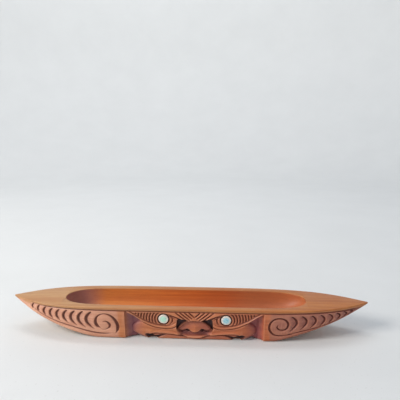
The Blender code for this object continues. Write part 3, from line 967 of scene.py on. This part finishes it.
def oiled_wood():
    """Reddish wood under a satin oil: growth bands and long fibres along the bowl, stained cuts, worn ridges,
    and painted shade in the scoops, the deep pits, round the nose and at the hollow's left end.

    Each face of the bowl has two pairs of colours, a pale and a dark one of the grain for each end, because
    the wood runs from paler and yellower at the left to redder at the right. On the end panels the pairs also
    hold painted light and shade: the left panel is painted paler and the right one darker.
    """
    wood = Finish("Oiled red-brown wood")
    bands = wood.noise((4, 170, 260), detail=3, roughness=0.6, warp=0.6).between(0.3, 0.7)
    fibres = wood.noise((38, 1500, 1500), detail=4, roughness=0.65)
    pores = wood.noise((150, 2600, 2600), detail=2, roughness=0.5).between(0.62, 0.74)
    blotch = wood.noise((22, 50, 50), detail=2, roughness=0.5).between(0.3, 0.7)
    streak = fibres.between(0.34, 0.66)
    stain = wood.attribute("cut_stain")
    pit = wood.attribute("pit")
    ridge = wood.attribute("ridge")
    side = wood.attribute("side")
    panel = wood.attribute("panel")
    hollow = wood.attribute("hollow")
    scoop = wood.attribute("scoop")

    redder = wood.along(-0.15, 0.09)
    tone = bands * 0.7 + streak * 0.3

    def grain_colours(left_pale, left_dark, right_pale, right_dark):
        """The grain's pale and dark colour at the left end, drifting into those at the right."""
        left = wood.mix(tone, linear(*left_pale), linear(*left_dark))
        right = wood.mix(tone, linear(*right_pale), linear(*right_dark))
        return wood.mix(redder, left, right)

    top = grain_colours((192, 147, 98), (172, 121, 74), (190, 121, 56), (160, 91, 40))
    sides = grain_colours((204, 136, 82), (172, 102, 58), (204, 112, 64), (162, 78, 44))
    # Painted light and shade: the left panel paler and the right one darker than the drift alone
    panels = grain_colours((226, 172, 142), (200, 140, 112), (168, 104, 84), (140, 78, 64))
    within = grain_colours((228, 150, 72), (200, 116, 50), (206, 98, 34), (172, 74, 22))
    # Painted shade: the hollow's left end turns purple-grey
    within = wood.mix((1 - redder.between(0.05, 0.16)) * 0.75, within, linear(150, 108, 114))
    within = wood.mix(redder.between(0.85, 1.0) * 0.7, within, linear(170, 104, 66))
    colour = wood.mix(side, top, wood.mix(panel, sides, panels))
    colour = wood.mix(hollow, colour, within)
    colour = wood.mix(blotch * 0.3, colour, linear(158, 84, 44))
    colour = wood.mix(pores * 0.3, colour, linear(84, 42, 26))
    colour = wood.mix(ridge.clamped() * 0.45, colour, linear(214, 150, 118))
    # Stain and painted shade in the shaped recesses: purple-grey at the left, where the scoop lies in shade,
    # red at the right
    colour = wood.mix(scoop * 0.75, colour, wood.mix(redder, linear(86, 54, 88), linear(122, 56, 70)))
    # Stain in the cuts, with painted shade in the sunk ground round the nose
    colour = wood.mix(stain * 0.85, colour, linear(84, 30, 22))
    # Painted shadow in the ducts, nostrils and mouth-corner pits
    colour = wood.mix(pit * 0.85, colour, linear(40, 22, 28))
    bump = wood.bump(fibres * 0.6 - pores * 0.5, 0.25, 0.0002)
    rough = 0.42 + streak * 0.10 + stain * 0.16 + blotch * 0.06 + hollow * 0.08
    wood.surface(Base_Color=colour, Roughness=rough, Normal=bump)
    wood.surface(Specular_IOR_Level=0.45, Coat_Weight=0.12, Coat_Roughness=0.28)
    return wood.material


def pearly_shell():
    """Shell: a pale rim round a middle that drifts between green and blue, under a glossy polish."""
    shell = Finish("Polished pearly shell")
    from_middle = shell.attribute("from_middle")
    drift = shell.noise((260, 260, 420), detail=3, roughness=0.6, warp=1.2)
    layers = shell.noise((900, 900, 500), detail=2, roughness=0.5, warp=2.0)
    hue = (drift * 0.7 + layers * 0.3).clamped()

    def sheen(*colours):
        """Four colours that follow each other in the shell's layers."""
        stops = [(place, linear(*colour)) for place, colour in zip((0.32, 0.44, 0.56, 0.68), colours)]
        return shell.node("ShaderNodeValToRGB", {"stops": stops}, {0: hue})

    green = sheen((132, 200, 176), (196, 228, 208), (158, 216, 192), (222, 232, 208))
    blue = sheen((106, 168, 184), (176, 212, 216), (132, 188, 204), (214, 218, 230))
    middle = shell.mix(shell.along(-0.02, 0.04), green, blue)
    rim = shell.mix(layers.between(0.35, 0.65), linear(232, 224, 208), linear(206, 196, 190))
    colour = shell.mix((from_middle + layers * 0.12).between(0.62, 0.78), middle, rim)
    colour = shell.mix(from_middle.between(0.95, 1.0) * 0.6, colour, linear(120, 96, 76))
    bump = shell.bump(layers, 0.2, 0.0001)
    rough = 0.16 + layers * 0.12
    shell.surface(Base_Color=colour, Roughness=rough, Normal=bump, Coat_Weight=0.5, Coat_Roughness=0.08)
    return shell.material


def pale_stone():
    """The studio floor: off-white with faint specks."""
    stone = Finish("Pale floor")
    cloud = stone.noise((9, 9, 9), detail=4, roughness=0.6)
    speck = stone.noise((420, 420, 420), detail=2, roughness=0.6).between(0.66, 0.74)
    colour = stone.mix(cloud, linear(213, 214, 213), linear(222, 223, 222))
    colour = stone.mix(speck * 0.35, colour, linear(176, 172, 168))
    stone.surface(Base_Color=colour, Roughness=0.6)
    return stone.material


# ---- The studio ----

STUDIO_RADIUS = 1.9
STUDIO_CURVE = 0.7
STUDIO_HEIGHT = 1.6
FLOOR_DROP = 0.00005  # the floor lies this little under the bowl


def make_studio():
    """A round floor that sweeps up into a wall all round.

    The profile is a level line, a quarter circle and an upright line, turned in a circle.
    """
    turn = np.linspace(0, math.pi / 2, 24)
    curve = STUDIO_RADIUS - STUDIO_CURVE * (1 - np.sin(turn))
    radius = np.concatenate([[0.02, 0.3, 0.8], curve, [STUDIO_RADIUS]])
    height = np.concatenate([[0, 0, 0], STUDIO_CURVE * (1 - np.cos(turn)), [STUDIO_HEIGHT]]) - FLOOR_DROP
    around = np.linspace(0, 2 * math.pi, 96, endpoint=False)[:, None]
    x, y = radius * np.cos(around), radius * np.sin(around)
    points = np.stack([x, y, height + 0 * x], axis=-1)
    index = np.arange(points.shape[0] * points.shape[1]).reshape(points.shape[:2])
    index = np.vstack([index, index[:1]])
    corners = [index[:-1, :-1], index[:-1, 1:], index[1:, 1:], index[1:, :-1]]
    quads = np.stack(corners, axis=-1).reshape(-1, 4)
    mesh = bpy.data.meshes.new("studio_sweep")
    mesh.from_pydata(points.reshape(-1, 3).tolist(), [], [*quads.tolist(), index[:-1, 0].tolist()])
    mesh.shade_smooth()
    mesh.materials.append(pale_stone())
    sweep = bpy.data.objects.new("studio_sweep", mesh)
    bpy.context.scene.collection.objects.link(sweep)


def make_light(name, place, aim, size, power, tint=(1, 1, 1)):
    """A soft rectangular light, turned to face its aim."""
    data = bpy.data.lights.new(name, "AREA")
    data.shape = "RECTANGLE"
    data.size, data.size_y = size
    data.energy = power
    data.color = tint
    light = bpy.data.objects.new(name, data)
    light.location = place
    light.rotation_euler = (Vector(aim) - Vector(place)).to_track_quat("-Z", "Y").to_euler()
    bpy.context.scene.collection.objects.link(light)


def make_lights():
    """A warm window at the left, a weak cool fill, a wash on the wall and the pale room's own light."""
    make_light("Window", (-1.1, -0.6, 0.95), (0, 0, 0), (0.6, 0.6), 19.5, (1.0, 0.955, 0.9))
    make_light("Front fill", (0.4, -1.3, 0.8), (0, 0, 0.02), (1.2, 0.9), 1.6, (0.9, 0.94, 1.0))
    make_light("Wall wash", (-0.3, 0.5, 1.7), (0, 1.8, 0.5), (1.4, 0.8), 15)
    world = bpy.data.worlds.new("Pale room")
    world.use_nodes = True
    background = world.node_tree.nodes["Background"]
    background.inputs["Color"].default_value = (0.74, 0.84, 1.0, 1)
    background.inputs["Strength"].default_value = 0.46
    bpy.context.scene.world = world
    bpy.context.scene.view_settings.view_transform = "Standard"


# ---- Putting it together ----


def main():
    """The studio, the carved bowl and its four eyes, each in place of its plain node."""
    make_studio()
    make_lights()
    carving = make_carving()
    bowl = make_bowl(carving)
    bowl.data.materials.append(oiled_wood())
    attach(bowl, "root")
    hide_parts("bowl_body")
    shell = pearly_shell()
    for place, side in EYES.items():
        eye = make_eye(place, side)
        eye.data.materials.append(shell)
        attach(eye, "root")
        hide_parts("eye_inlay_" + place)


main()
